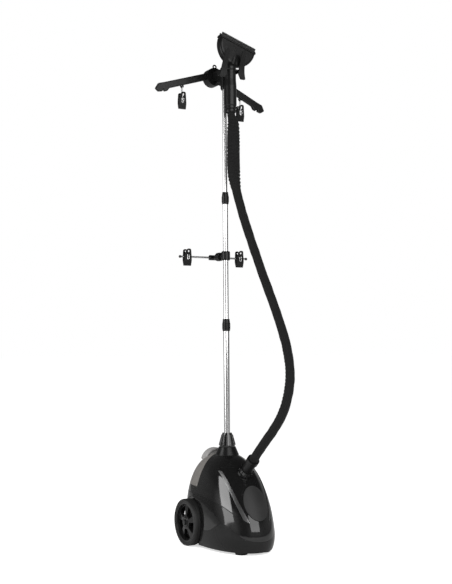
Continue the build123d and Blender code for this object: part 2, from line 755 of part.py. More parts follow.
def pole_nut():
    """The fluted dome nut over the socket."""
    axis = place(0, 0, 0)
    foot, top = CONE_TOP_Z + RUNNING_GAP, CONE_TOP_Z + RUNNING_GAP + NUT_HEIGHT
    bore = LOWER_RADIUS + RUNNING_GAP
    low, high = foot + NUT_HEIGHT * 0.12, foot + NUT_HEIGHT * 0.86
    nut = turned([
        (bore, foot), (NUT_FOOT_RADIUS, foot), (NUT_FOOT_RADIUS, low), (NUT_TOP_RADIUS + 2, high),
        (NUT_TOP_RADIUS, top), (bore, top),
    ], axis)
    for rib in range(NUT_RIBS):
        turn = radians(360 / NUT_RIBS * rib)
        ray = Vector(cos(turn), sin(turn), 0)
        start = axis + ray * NUT_FOOT_RADIUS + Vector(0, 0, low)
        end = axis + ray * (NUT_TOP_RADIUS + 2) + Vector(0, 0, high)
        nut += rod(start, end, 2.4, 1.6)
    return nut


# Hose and its port


def hose_port():
    """The flanged spigot in the front panel."""
    flange = rod(along_port(-20), along_port(PORT_FLANGE_TOP), PORT_FLANGE_RADIUS) - skin()
    spigot = rod(along_port(-PORT_DEPTH), along_port(PORT_FLANGE_TOP + PORT_RING_LENGTH + 8), PORT_BORE + WALL)
    bore = rod(along_port(-PORT_DEPTH), along_port(60), PORT_BORE)
    return flange + spigot - bore


def port_ring():
    """The bayonet ring that holds the hose's sleeve on the spigot."""
    start = PORT_FLANGE_TOP + RUNNING_GAP
    end = start + PORT_RING_LENGTH
    ring = rod(along_port(start), along_port(end), PORT_RING_RADIUS, PORT_RING_RADIUS - 2)
    frame = Plane(origin=along_port(start), x_dir=(1, 0, 0), z_dir=port_axis())
    for rib in range(RING_RIBS):
        turn = radians(360 / RING_RIBS * (rib + 0.5))
        spot = frame.from_local_coords((PORT_RING_RADIUS * cos(turn), PORT_RING_RADIUS * sin(turn), 1))
        ring += rod(spot, spot + port_axis() * (PORT_RING_LENGTH - 3), 2, 1.5)
    return ring - rod(along_port(0), along_port(60), PORT_BORE + WALL + RUNNING_GAP)


def sleeve_start():
    return PORT_FLANGE_TOP + PORT_RING_LENGTH + 2 * RUNNING_GAP


def hose_sleeve():
    """The hose's tapered end sleeve, with the collar that grips the fabric."""
    start, end = sleeve_start(), sleeve_start() + SLEEVE_LENGTH
    sleeve = rod(along_port(start), along_port(end), SLEEVE_LOW_RADIUS, SLEEVE_TOP_RADIUS)
    sleeve += rod(along_port(end - 1), along_port(end + CUFF_LENGTH), CUFF_RADIUS)
    return sleeve - rod(along_port(0), along_port(end + CUFF_LENGTH), PORT_BORE + WALL + FIT)


def hose_points():
    """The hose's route: out of the sleeve, forward, up and into the handset's cuff."""
    end = sleeve_start() + SLEEVE_LENGTH + CUFF_LENGTH
    middle = [place(*point) for point in HOSE_ROUTE]
    return [along_port(end), along_port(end + HOSE_LEAD), *middle, place(0, HANDSET_AHEAD, HOSE_BEND_Z), place(0, HANDSET_AHEAD, HOSE_TOP_Z)]


def hose_halves():
    points = hose_points()
    join = (points[HOSE_SPLIT] + points[HOSE_SPLIT + 1]) * 0.5
    return points[: HOSE_SPLIT + 1] + [join], [join] + points[HOSE_SPLIT + 1 :]


def hose(points):
    """A length of hose with every bend as wide as its runs allow."""
    radii = []
    for before, corner, after in zip(points, points[1:], points[2:]):
        run_in, run_out = corner - before, after - corner
        turn = radians(run_in.get_angle(run_out))
        radii.append(0.45 * min(run_in.length, run_out.length) / tan(turn / 2))
    path = FilletPolyline(*points, radius=radii)
    start = Plane(origin=path @ 0, z_dir=path % 0)
    tube = sweep(start * Circle(HOSE_RADIUS), path) - sweep(start * Circle(HOSE_BORE), path)
    section = Circle(HOSE_RADIUS).area - Circle(HOSE_BORE).area
    print("hose radii", [round(r) for r in radii], "length", round(path.length), "volume share", round(tube.volume / section / path.length, 4))
    return tube


# Hanger


def hanger_hub():
    """The cap on the pole with the bracket and plate that carry the hanger's pivot, and an eye."""
    axis = place(0, 0, 0)
    bore = UPPER_RADIUS + FIT
    cap = turned([
        (bore, HUB_FOOT_Z), (HUB_RADIUS - 2, HUB_FOOT_Z), (HUB_RADIUS, HUB_FOOT_Z + 6), (HUB_RADIUS, HUB_TOP_Z - 5),
        (HUB_RADIUS - 5, HUB_TOP_Z), (0, HUB_TOP_Z), (0, HUB_TOP_Z - 2 * WALL), (bore, HUB_TOP_Z - 2 * WALL),
    ], axis)
    bracket = side_prism([
        (-bore - 2, DRUM_Z - 30), (-bore - 2, HUB_TOP_Z - 6), (DRUM_AHEAD, DRUM_Z + 14), (DRUM_AHEAD, DRUM_Z - 14),
    ], HUB_RADIUS - 4)
    plate = rod(place(0, DRUM_AHEAD, DRUM_Z), place(0, DRUM_BACK, DRUM_Z), DRUM_RADIUS)
    plate -= rod(place(0, DRUM_AHEAD, DRUM_Z), place(0, DRUM_BACK, DRUM_Z), PIN_RADIUS + FIT)
    eye = Pos(place(0, (DRUM_AHEAD + DRUM_BACK) / 2, DRUM_Z + DRUM_RADIUS + EYE_RADIUS - 2)) * (Rot(90, 0, 0) * Torus(EYE_RADIUS, EYE_WIRE))
    return cap + (bracket - rod(axis, place(0, 0, 2000), bore + 1)) + plate + eye


def drum_pin():
    """The pivot pin with the domed cap behind both arms."""
    back = DRUM_CAP_FRONT - DRUM_PLATE
    pin = rod(place(0, DRUM_AHEAD, DRUM_Z), place(0, DRUM_CAP_FRONT - 1, DRUM_Z), PIN_RADIUS)
    cap = rod(place(0, DRUM_CAP_FRONT, DRUM_Z), place(0, back, DRUM_Z), DRUM_RADIUS - 3)
    cap = fillet(cap.edges().filter_by(GeomType.CIRCLE).sort_by(Axis.Y)[-1], DRUM_PLATE * 0.7)
    return pin + cap


def drooped(droop):
    """Turns an arm's own frame about the pivot, X along the arm."""
    return Pos(place(0, 0, DRUM_Z)) * Rot(0, droop, 0)


def arm(front, droop):
    """A hanger arm to the left, with its root disc, notched end and clip lug."""
    half, end = ARM_HEIGHT / 2, ARM_LENGTH
    outline = [
        (0, half), (end - 38, half), (end - 16, half + 1), (end, -2), (end - 8, -half - 3), (end - 22, -half - 5),
        (end - 26, -half + 3), (end - 30, -half - 7), (end - 40, -half - 7), (end - 50, -half), (0, -half),
    ]
    back = front - ARM_THICK
    face = make_face(Polyline(*[(x, -back, z + ARM_RISE) for x, z in outline], close=True))
    notch = face.vertices().filter_by(lambda v: end - 42 < v.X < end - 20)
    face = fillet(notch, 1.6)
    tip = face.vertices().filter_by(lambda v: v.X > end - 18)
    face = fillet(tip, 4)
    beam = extrude(face, ARM_THICK, dir=(0, -1, 0))
    beam = fillet(beam.edges().filter_by(Axis.Y, reverse=True).filter_by(lambda e: e.center().X > DRUM_RADIUS), 2.4)
    disc = rod((0, -back, 0), (0, -front, 0), DRUM_RADIUS)
    lug = rod((CLIP_ALONG, -back - 4, lug_z()), (CLIP_ALONG, -back - 4 - LUG_THICK, lug_z()), LUG_RADIUS)
    shape = beam + disc + lug
    shape -= rod((CLIP_ALONG, -back, lug_z()), (CLIP_ALONG, -front, lug_z()), LUG_HOLE)
    shape -= rod((0, -back, 0), (0, -front, 0), PIN_RADIUS + FIT)
    return drooped(droop) * shape


def lug_z():
    return ARM_RISE - ARM_HEIGHT / 2 - LUG_HOLE


def lug_place(front, droop):
    """Where a hanging clip's link passes through the left arm's lug."""
    turn = radians(droop)
    x = CLIP_ALONG * cos(turn) + lug_z() * sin(turn)
    z = DRUM_Z - CLIP_ALONG * sin(turn) + lug_z() * cos(turn)
    return place(x, front - ARM_THICK + 4 + LUG_THICK / 2, z)


def clip_link(hang):
    """The wire link between an arm's lug and a clip's pin, with the pin."""
    top, low = hang.Z - LINK_HALF, hang.Z - LINK_DROP + LINK_HALF
    y = hang.Y
    points = [(hang.X, y - LINK_HALF, low), (hang.X, y - LINK_HALF, top), (hang.X, y + LINK_HALF, top), (hang.X, y + LINK_HALF, low)]
    path = Wire([
        Line(points[0], points[1]),
        ThreePointArc(points[1], (hang.X, y, hang.Z), points[2]),
        Line(points[2], points[3]),
        ThreePointArc(points[3], (hang.X, y, hang.Z - LINK_DROP), points[0]),
    ])
    loop = sweep(Plane(origin=points[0], z_dir=(0, 0, 1)) * Circle(LINK_WIRE), path)
    pin = clip_pin_place(hang)
    half = CLIP_WIDTH / 2 - 1
    return loop + rod(pin - Vector(half, 0, 0), pin + Vector(half, 0, 0), CLIP_PIN)


def clip_pin_place(hang):
    return hang - Vector(0, 0, LINK_DROP - LINK_WIRE - CLIP_PIN + 1)


def jaw(pin, pin_radius, front, slotted):
    """One jaw of a spring clip: a blade below its pin, a finger ear above it, knuckles round it."""
    inner = pin_radius + 0.6
    outer = inner + JAW_THICK
    profile = [
        (0.3, -CLIP_DROP), (1.8, -CLIP_DROP), (outer + 1, -CLIP_DROP * 0.4), (outer, 5), (outer + 9, CLIP_RISE),
        (outer + 6, CLIP_RISE + 1), (inner, 6), (inner, -CLIP_DROP * 0.3), (0.3, -CLIP_DROP * 0.7),
    ]
    face = make_face(Polyline(*[(0, -ahead, z) for ahead, z in profile], close=True))
    plate = extrude(face, CLIP_WIDTH / 2, dir=(1, 0, 0), both=True)
    half = CLIP_WIDTH / 2
    ear = Pos(0, CLIP_RISE - EAR_RADIUS + 1) * Circle(EAR_RADIUS)
    blade = Pos(0, 4 - (CLIP_DROP + 4) / 2) * Rectangle(2 * half, CLIP_DROP + 4)
    view = make_hull((ear + blade).edges())
    plate &= extrude(Plane.XZ * view, 40, both=True)
    knuckle = outer
    own, other = ((KNUCKLE_IN, KNUCKLE_OUT), (KNUCKLE_OUT + RUNNING_GAP, half))
    if not front:
        own, other = other, own
    for sign in (-1, 1):
        low, high = sorted((sign * (other[0] - RUNNING_GAP), sign * (other[1] + RUNNING_GAP)))
        plate -= rod((low, 0, 0), (high, 0, 0), knuckle + 0.5)
    for sign in (-1, 1):
        plate += rod((sign * own[0], 0, 0), (sign * own[1], 0, 0), knuckle)
    plate -= rod((-half - 1, 0, 0), (half + 1, 0, 0), pin_radius + FIT)
    plate -= rod((0, -40, CLIP_RISE - EAR_RADIUS + 1), (0, 40, CLIP_RISE - EAR_RADIUS + 1), EAR_HOLE)
    if slotted:
        plate -= Pos(0, 0, -7) * Box(2 * KNUCKLE_IN - RUNNING_GAP, 30, 26, align=UP)
    return Pos(pin) * (plate if front else Rot(0, 0, 180) * plate)


# Trouser rail


def rail_clamp():
    """The clamp on the middle tube, with its arm back to the boss that holds the rail."""
    bore = MIDDLE_RADIUS + RUNNING_GAP
    outer = bore + CLAMP_WALL
    low, high = RAIL_Z - CLAMP_HEIGHT / 2, RAIL_Z + CLAMP_HEIGHT / 2
    ring = turned([
        (bore, low), (outer - 2, low), (outer, low + 3), (outer, high - 3), (outer - 2, high), (bore, high),
    ], place(0, 0, 0))
    reach = rod(place(0, -bore - 2, RAIL_Z), place(0, RAIL_AHEAD, RAIL_Z), CLAMP_ARM)
    boss = rod(place(-BOSS_HALF, RAIL_AHEAD, RAIL_Z), place(BOSS_HALF, RAIL_AHEAD, RAIL_Z), BOSS_RADIUS)
    return ring + reach + boss - rod(place(-40, RAIL_AHEAD, RAIL_Z), place(40, RAIL_AHEAD, RAIL_Z), RAIL_RADIUS + FIT)


def clamp_knob():
    """The fluted knob on the clamp's arm."""
    front, back = place(0, KNOB_AHEAD + KNOB_LENGTH / 2, RAIL_Z), place(0, KNOB_AHEAD - KNOB_LENGTH / 2, RAIL_Z)
    knob = rod(front, back, KNOB_RADIUS)
    knob = fillet(knob.edges().filter_by(GeomType.CIRCLE), 4)
    for flute in range(KNOB_FLUTES):
        turn = radians(360 / KNOB_FLUTES * flute)
        shift = Vector(cos(turn), 0, sin(turn)) * (KNOB_RADIUS + 2)
        knob -= rod(front + shift, back + shift, 3.5)
    return knob - rod(front, back, CLAMP_ARM + RUNNING_GAP)


def trouser_rail():
    ends = [place(sign * RAIL_HALF, RAIL_AHEAD, RAIL_Z) for sign in (-1, 1)]
    rail = rod(*ends, RAIL_RADIUS)
    for end in ends:
        rail += Pos(end) * Sphere(RAIL_TIP)
    return rail


# Handset and its cradle


def handset_cradle():
    """The fork on the hanger's cap: two bars beside the neck, each with a curved front prong."""
    block = Pos(place(0, HUB_RADIUS, CRADLE_Z)) * Box(2 * CRADLE_X + 2 * CRADLE_BAR, CRADLE_DEPTH, 14)
    block -= rod(place(0, 0, CRADLE_Z - 20), place(0, 0, CRADLE_Z + 20), HUB_RADIUS + FIT)
    block -= side_prism([(-30, CRADLE_Z - 20), (-30, CRADLE_Z + 20), (4, CRADLE_Z + 20), (4, CRADLE_Z - 20)], 60)
    block -= rod(place(0, HANDSET_AHEAD, CRADLE_Z - 20), place(0, HANDSET_AHEAD, CRADLE_Z + 20), HANDLE_RADIUS + 1.4)
    root, crook = HUB_RADIUS + 2, HANDSET_AHEAD + HEAD_THICK / 2
    sides = rod(place(CRADLE_X, root, CRADLE_Z), place(CRADLE_X, crook, CRADLE_Z), CRADLE_BAR) + prong(crook)
    return block + sides + mirrored(sides)


def prong(crook):
    """The left prong, a curved plate that leans forward and narrows upwards."""
    rise = PRONG_TOP_Z - CRADLE_Z
    spine = [
        (crook - 1, CRADLE_Z - PRONG_TAIL), (crook, CRADLE_Z), (crook + PRONG_LEAN * 0.36, CRADLE_Z + rise * 0.5),
        (crook + PRONG_LEAN, PRONG_TOP_Z),
    ]
    near = Spline(*[place(0, ahead, z) for ahead, z in spine])
    far = Spline(*[place(0, ahead + PRONG_THICK, z) for ahead, z in spine])
    face = make_face([near, far, Line(near @ 0, far @ 0), Line(near @ 1, far @ 1)])
    inside = CRADLE_X - CRADLE_BAR
    plate = extrude(face, 80, dir=(1, 0, 0))
    outline = [
        (inside, CRADLE_Z - 8), (inside + 8, CRADLE_Z - PRONG_TAIL), (inside + PRONG_WIDTH + 4, CRADLE_Z - PRONG_TAIL),
        (inside + PRONG_WIDTH, CRADLE_Z), (inside + PRONG_WIDTH * 0.7, PRONG_TOP_Z), (inside + 2, PRONG_TOP_Z),
    ]
    view = make_face(Polyline(*[(x, place(0, crook + 60, 0).Y, z) for x, z in outline], close=True))
    view = fillet(view.vertices(), 4)
    return plate & extrude(view, 120, dir=(0, 1, 0))


def handle():
    """The hollow grip of the handset."""
    axis = place(0, HANDSET_AHEAD, 0)
    foot, top = HANDLE_FOOT_Z, COLLAR_Z
    outer = [(HANDLE_RADIUS - 2, foot), (HANDLE_RADIUS, foot + 4), (HANDLE_RADIUS, top - 50), (HANDLE_NECK, top - 30), (HANDLE_NECK, top)]
    inner = [(r - HANDLE_WALL, z) for r, z in reversed(outer)]
    return turned(outer + inner, axis)


def handset_cuff():
    """The ring at the handle's foot that the hose goes into."""
    axis = place(0, HANDSET_AHEAD, 0)
    bore = HOSE_RADIUS + RUNNING_GAP
    foot, top = CUFF_FOOT_Z, HANDLE_FOOT_Z
    outer = bore + CUFF_WALL
    return turned([
        (bore, foot), (outer - 2, foot), (outer - 1, foot + 3), (outer - 1, foot + 9), (outer - 2, foot + 11),
        (outer, foot + 13), (outer, top), (bore, top),
    ], axis)


def neck_collar():
    """The shoulder that rests on the cradle's bars, with the ball under the head."""
    middle = place(0, HANDSET_AHEAD, COLLAR_Z)
    shoulder = Pos(middle) * Box(2 * COLLAR_HALF, HEAD_THICK - 2, COLLAR_THICK, align=UP)
    shoulder = fillet(shoulder.edges().filter_by(Axis.Z), 8)
    ball = Pos(place(0, HANDSET_AHEAD, BALL_Z)) * Sphere(NECK_BALL)
    ball -= Pos(middle) * Box(100, 100, 60, align=(Align.CENTER, Align.CENTER, Align.MAX))
    return shoulder + ball - rod(middle - Vector(0, 0, 5), middle + Vector(0, 0, 60), STEAM_TUBE)


def head_frame():
    """The head's own frame: its origin in the neck's ball, Z towards the brush."""
    return Pos(place(0, HANDSET_AHEAD, BALL_Z)) * Rot(0, HEAD_CANT, 0)


def half_moon(inset, open_top):
    """The half-moon of the head, with round edges."""
    half, top = HEAD_WIDTH / 2 - inset, HEAD_HEIGHT
    foot = HEAD_HEIGHT - HEAD_DROP + inset
    flank = [(half, top), (half, (top + foot) / 2), (half * 0.6, foot), (0, foot)]
    left = Bezier(*[(x, 0, z) for x, z in flank])
    right = mirrored(left)
    face = make_face([left, right, Line(left @ 0, right @ 0)])
    depth = HEAD_THICK / 2 - inset
    moon = extrude(face, depth, dir=(0, 1, 0), both=True)
    flanks = moon.edges().filter_by(lambda e: e.center().Z < top - 1 and abs(e.center().Y) > depth - 1)
    moon = fillet(flanks, depth * 0.6)
    neck = Solid.make_cylinder(NECK_HALF - inset, foot + 24, Plane.XY)
    moon += neck
    if open_top:
        moon += extrude(moon.faces().sort_by(Axis.Z)[-1], 10)
    return moon


def head_shell(front):
    """One half of the head's casing, a tray open to the other half and at the top."""
    shell = half_moon(0, False) - half_moon(HEAD_WALL, True) - Sphere(NECK_BALL + RUNNING_GAP)
    align = (Align.CENTER, Align.MAX if front else Align.MIN, Align.CENTER)
    return head_frame() * (shell & Box(400, 200, 400, align=align))


def steam_plate():
    """The plate in the head's mouth, with its row of steam holes."""
    inside = half_moon(HEAD_WALL + FIT, False)
    plate = inside & Pos(0, 0, HEAD_HEIGHT - PLATE_THICK) * Box(400, 100, PLATE_THICK, align=UP)
    pitch = HEAD_WIDTH * 0.78 / (STEAM_HOLES - 1)
    for hole in range(STEAM_HOLES):
        x = (hole - (STEAM_HOLES - 1) / 2) * pitch
        plate -= rod((x, 0, HEAD_HEIGHT - 9), (x, 0, HEAD_HEIGHT + 9), 2)
    return head_frame() * plate


def brush_bar():
    """The brush's frame, clipped on the plate at its middle and slotted for the steam."""
    foot = HEAD_HEIGHT + BRUSH_GAP
    bar = Pos(0, 0, foot) * Box(BRUSH_WIDTH, BRUSH_DEPTH, BRUSH_THICK, align=UP)
    bar = fillet(bar.edges().filter_by(Axis.Z), 3)
    clip = Pos(0, 0, HEAD_HEIGHT + RUNNING_GAP) * Box(BRUSH_CLIP, BRUSH_DEPTH - 4, BRUSH_GAP, align=UP)
    slot = Pos(0, 0, HEAD_HEIGHT) * Box(BRUSH_WIDTH * 0.72, BRUSH_SLOT, 40, align=UP)
    return head_frame() * (bar + clip - slot)


def bristles():
    """The brush's strands in rows on both sides of the steam slot."""
    foot = HEAD_HEIGHT + BRUSH_GAP + BRUSH_THICK
    span, margin = BRUSH_WIDTH - 8, (BRUSH_DEPTH - BRUSH_SLOT) / 2
    pitch = span / BRISTLE_COLUMNS
    strips, strands = [], []
    for side in (-1, 1):
        middle = side * (BRUSH_SLOT + margin) / 2
        strips.append(Pos(0, middle, foot) * Box(span + 2, margin - 2, BRISTLE_BACKING, align=UP))
        for row in range(BRISTLE_ROWS):
            y = middle + (row - (BRISTLE_ROWS - 1) / 2) * (margin - 3) / BRISTLE_ROWS
            for column in range(BRISTLE_COLUMNS):
                x = (column - (BRISTLE_COLUMNS - 1) / 2) * pitch
                size = (BRISTLE_SIDE, BRISTLE_SIDE, BRISTLE_LENGTH)
                strands.append(Pos(x, y, foot) * Box(*size, align=UP))
    return head_frame() * (Part() + [*strips, *strands])


def nodes():
    """Every piece of the steamer by name."""
    shell = base_shell()
    lower_half, upper_half = hose_halves()
    left_hang = lug_place(LEFT_ARM_FRONT, LEFT_DROOP)
    right_hang = lug_place(RIGHT_ARM_FRONT, RIGHT_DROOP)
    rail_spot = place(RAIL_CLIP_X, RAIL_AHEAD, RAIL_Z)
    pieces = {
        "pan": pan(shell), "lower_body": lower_body(shell), "hood": hood(shell), "front_trims": front_trims(),
        "foot_pedal": foot_pedal(), "pedal_switch": pedal_switch(), "front_feet": front_feet(),
        "cord_gland": cord_gland(), "water_tank": water_tank(), "tank_grip": tank_grip(),
        "tank_valve": tank_valve(), "valve_seat": valve_seat(), "boiler": boiler(), "thermostat": thermostat(),
        "feed_tube": feed_tube(), "steam_pipe": steam_pipe(), "wheel_left": wheel(), "tyre_left": tyre(),
        "wheel_right": mirrored(wheel()), "tyre_right": mirrored(tyre()), "wheel_axle": wheel_axle(),
        "lower_tube": lower_tube(), "middle_tube": middle_tube(), "upper_tube": upper_tube(),
        "lower_lock": twist_lock(LOWER_LOCK_Z, LOWER_RADIUS, MIDDLE_RADIUS),
        "upper_lock": twist_lock(UPPER_LOCK_Z, MIDDLE_RADIUS, UPPER_RADIUS),
        "pole_socket": pole_socket(), "pole_nut": pole_nut(), "hose_port": hose_port(), "port_ring": port_ring(),
        "hose_sleeve": hose_sleeve(), "hose_lower": hose(lower_half), "hose_upper": hose(upper_half),
        "hanger_hub": hanger_hub(), "drum_pin": drum_pin(), "arm_left": arm(LEFT_ARM_FRONT, LEFT_DROOP),
        "arm_right": mirrored(arm(RIGHT_ARM_FRONT, RIGHT_DROOP)),
        "rail_clamp": rail_clamp(), "clamp_knob": clamp_knob(), "trouser_rail": trouser_rail(),
        "handset_cradle": handset_cradle(), "handle": handle(), "handset_cuff": handset_cuff(),
        "neck_collar": neck_collar(), "head_front": head_shell(True), "head_rear": head_shell(False),
        "steam_plate": steam_plate(), "brush_bar": brush_bar(), "bristles": bristles(),
    }
    for side, hang, turn in (("left", left_hang, 1), ("right", right_hang, -1)):
        spot = Vector(turn * hang.X, hang.Y, hang.Z)
        pieces[f"clip_link_{side}"] = clip_link(spot)
        rail_pin = Vector(turn * rail_spot.X, rail_spot.Y, rail_spot.Z)
        for face, front in (("front", True), ("rear", False)):
            pieces[f"clip_{side}_{face}"] = jaw(clip_pin_place(spot), CLIP_PIN, front, True)
            pieces[f"rail_clip_{side}_{face}"] = jaw(rail_pin, RAIL_RADIUS, front, False)
    return pieces


def main():
    os.makedirs("parts", exist_ok=True)
    for name, shape in nodes().items():
        export_step(shape, f"parts/{name}.step")


if __name__ == "__main__":
    main()
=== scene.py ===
import json
from math import cos, pi, radians, sin

import bmesh
import bpy
from mathutils import Matrix, Vector, noise
from mathutils.bvhtree import BVHTree


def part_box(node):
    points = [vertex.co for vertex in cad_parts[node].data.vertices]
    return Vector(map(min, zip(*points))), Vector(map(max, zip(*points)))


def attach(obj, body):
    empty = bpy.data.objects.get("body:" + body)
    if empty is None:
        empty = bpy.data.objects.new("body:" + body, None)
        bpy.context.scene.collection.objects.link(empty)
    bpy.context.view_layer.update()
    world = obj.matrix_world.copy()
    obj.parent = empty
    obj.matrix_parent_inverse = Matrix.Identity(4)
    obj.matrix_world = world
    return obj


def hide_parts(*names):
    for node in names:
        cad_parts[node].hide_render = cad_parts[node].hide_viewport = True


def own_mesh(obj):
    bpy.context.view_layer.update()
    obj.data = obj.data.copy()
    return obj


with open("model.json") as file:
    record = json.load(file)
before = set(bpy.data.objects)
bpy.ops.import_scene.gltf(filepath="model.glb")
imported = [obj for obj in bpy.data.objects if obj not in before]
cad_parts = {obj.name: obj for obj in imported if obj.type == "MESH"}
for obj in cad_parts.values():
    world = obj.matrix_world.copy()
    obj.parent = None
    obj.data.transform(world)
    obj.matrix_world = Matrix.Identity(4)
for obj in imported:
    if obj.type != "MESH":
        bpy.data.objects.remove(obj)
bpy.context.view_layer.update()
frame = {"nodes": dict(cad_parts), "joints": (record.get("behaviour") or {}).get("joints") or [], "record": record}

# Sizes in metres, in the frame's own axes: +Z up, the front faces -Y.
POLE_Y = 0.026
PORT_AHEAD, PORT_Z, PORT_TILT = 0.110, 0.2375, radians(42)
HOSE_START, HOSE_LEAD = 0.0676, 0.070
HOSE_RADIUS = 0.0145
HANDSET_AHEAD = 0.038
HOSE_ROUTE = [
    (0.024, 0.270, 0.402),
    (0.043, 0.288, 0.470),
    (0.059, 0.281, 0.545),
    (0.070, 0.247, 0.622),
    (0.074, 0.201, 0.700),
    (0.071, 0.160, 0.776),
    (0.064, 0.118, 0.856),
    (0.055, 0.084, 0.936),
    (0.042, 0.057, 1.016),
    (0.0265, 0.0425, 1.090),
    (0.011, 0.0395, 1.160),
    (0.007, 0.041, 1.225),
    (0.0088, 0.041, 1.290),
    (0.009, 0.0405, 1.345),
    (0.0, HANDSET_AHEAD, 1.372),
    (0.0, HANDSET_AHEAD, 1.436),
]
HOSE_SPLIT_Z = 0.816
HOSE_END_SLACK = 0.054


def place(x, ahead, z):
    """A point from its place beside, ahead of and above the pole's foot."""
    return Vector((x, POLE_Y - ahead, z))


def port_point(distance):
    """A point on the hose port's axis."""
    return place(0, PORT_AHEAD + distance * cos(PORT_TILT), PORT_Z + distance * sin(PORT_TILT))


# Shader maths


class Value:
    """A shader socket that takes part in arithmetic."""

    def __init__(self, finish, socket):
        self.finish = finish
        self.socket = socket

    def math(self, operation, *values):
        return self.finish.add("ShaderNodeMath", {"operation": operation}, *values)

    def __add__(self, other):
        return self.math("ADD", self, other)

    def __sub__(self, other):
        return self.math("SUBTRACT", self, other)

    def __rsub__(self, other):
        return self.math("SUBTRACT", other, self)

    def __mul__(self, other):
        return self.math("MULTIPLY", self, other)

    def __truediv__(self, other):
        return self.math("DIVIDE", self, other)

    __radd__ = __add__
    __rmul__ = __mul__

    def sine(self):
        return self.math("SINE", self)

    def size(self):
        return self.math("ABSOLUTE", self)

    def between(self, low, high):
        """0 below low, 1 above high, and a soft step from one to the other."""
        ends = {"From Min": low, "From Max": high}
        return self.finish.add("ShaderNodeMapRange", {"interpolation_type": "SMOOTHSTEP"}, self, **ends)


MIX_FIRST, MIX_SECOND, MIX_RESULT = 6, 7, 2  # The colour sockets of a Mix node.


class Finish:
    """A node tree being written: of a material, with its shader, or of the world."""

    def __init__(self, owner):
        self.owner = owner
        owner.use_nodes = True
        self.tree = owner.node_tree

    def add(self, kind, settings, *values, **named):
        """A node of that kind with its settings, then its sockets' values or links."""
        node = self.tree.nodes.new(kind)
        for name, setting in settings.items():
            if name == "stops":
                self.set_stops(node.color_ramp, setting)
            else:
                setattr(node, name, setting)
        for socket, value in zip(node.inputs, values):
            self.join(socket, value)
        for key, value in named.items():
            self.join(node.inputs[key], value)
        return Value(self, node.outputs[0])

    def set_stops(self, ramp, stops):
        while len(ramp.elements) < len(stops):
            ramp.elements.new(1)
        for element, (position, colour) in zip(ramp.elements, stops):
            element.position = position
            element.color = (*colour, 1)

    def join(self, socket, value):
        if isinstance(value, Value):
            self.tree.links.new(value.socket, socket)
        else:
            socket.default_value = value

    def set(self, name, value):
        """One of the shader's sockets gets a value or a link."""
        self.join(self.shader.inputs[name], value)

    def place(self, output="Object"):
        """Where on the object the shader is."""
        found = self.add("ShaderNodeTexCoord", {})
        return Value(self, found.socket.node.outputs[output])

    def part(self, vector, axis):
        split = self.add("ShaderNodeSeparateXYZ", {}, vector)
        return Value(self, split.socket.node.outputs[axis])

    def stretched(self, vector, scale):
        return self.add("ShaderNodeVectorMath", {"operation": "MULTIPLY"}, vector, scale)

    def grain(self, vector, scale, detail=2.0, roughness=0.5):
        """Noise from 0 to 1 at a scale in waves per metre."""
        sockets = {"Vector": vector, "Scale": scale, "Detail": detail, "Roughness": roughness}
        return self.add("ShaderNodeTexNoise", {}, **sockets)

    def blend(self, share, first, second):
        """A colour between two colours."""
        node = self.add("ShaderNodeMix", {"data_type": "RGBA"}, share).socket.node
        self.join(node.inputs[MIX_FIRST], first)
        self.join(node.inputs[MIX_SECOND], second)
        return Value(self, node.outputs[MIX_RESULT])

    def bump(self, height, strength, distance):
        sockets = {"Height": height, "Strength": strength, "Distance": distance}
        return self.add("ShaderNodeBump", {}, **sockets)


def material(name, **sockets):
    """A new finish whose shader has those constants."""
    finish = Finish(bpy.data.materials.new(name))
    finish.shader = finish.tree.nodes["Principled BSDF"]
    for key, value in sockets.items():
        finish.shader.inputs[key.replace("_", " ")].default_value = value
    return finish


def grey(level, warmth=0.0):
    return (level * (1 + warmth), level, level * (1 - warmth), 1)


# Finishes


def gloss_black(name, shine):
    """Polished black moulding, with faint flow lines and a little dust."""
    finish = material(name, IOR=1.5, Specular_IOR_Level=shine)
    spot = finish.place()
    haze = finish.grain(spot, 9, 3)
    dust = finish.grain(spot, 900, 1).between(0.66, 0.78)
    finish.set("Base Color", finish.blend(dust * 0.2, grey(0.006), grey(0.03)))
    finish.set("Roughness", 0.05 + haze * 0.05 + dust * 0.1)
    waves = finish.grain(spot, 14, 1)
    finish.set("Normal", finish.bump(waves, 0.1, 0.0004))
    return finish.owner


def moulded(name, level, rough, grain_scale=1600, grain_depth=0.00012, warmth=0.0):
    """Matte moulding with a fine spark-eroded grain and slightly rubbed patches."""
    finish = material(name, IOR=1.48, Specular_IOR_Level=0.2)
    spot = finish.place()
    grain = finish.grain(spot, grain_scale, 2)
    rub = finish.grain(spot, 22, 3)
    tone = finish.blend(rub, grey(level * 0.8, warmth), grey(level * 1.25, warmth))
    finish.set("Base Color", tone)
    finish.set("Roughness", rough - 0.06 + rub * 0.12)
    finish.set("Normal", finish.bump(grain, 0.5, grain_depth))
    return finish.owner


def smoke_tank():
    """Smoke-grey clear moulding of the water tank."""
    finish = material("smoke_tank", IOR=1.45, Transmission_Weight=0.3)
    spot = finish.place()
    haze = finish.grain(spot, 30, 3)
    finish.set("Base Color", finish.blend(haze, grey(0.20, 0.06), grey(0.23, 0.06)))
    finish.set("Roughness", 0.16 + haze * 0.08)
    finish.set("Normal", finish.bump(finish.grain(spot, 25, 1), 0.2, 0.0005))
    return finish.owner


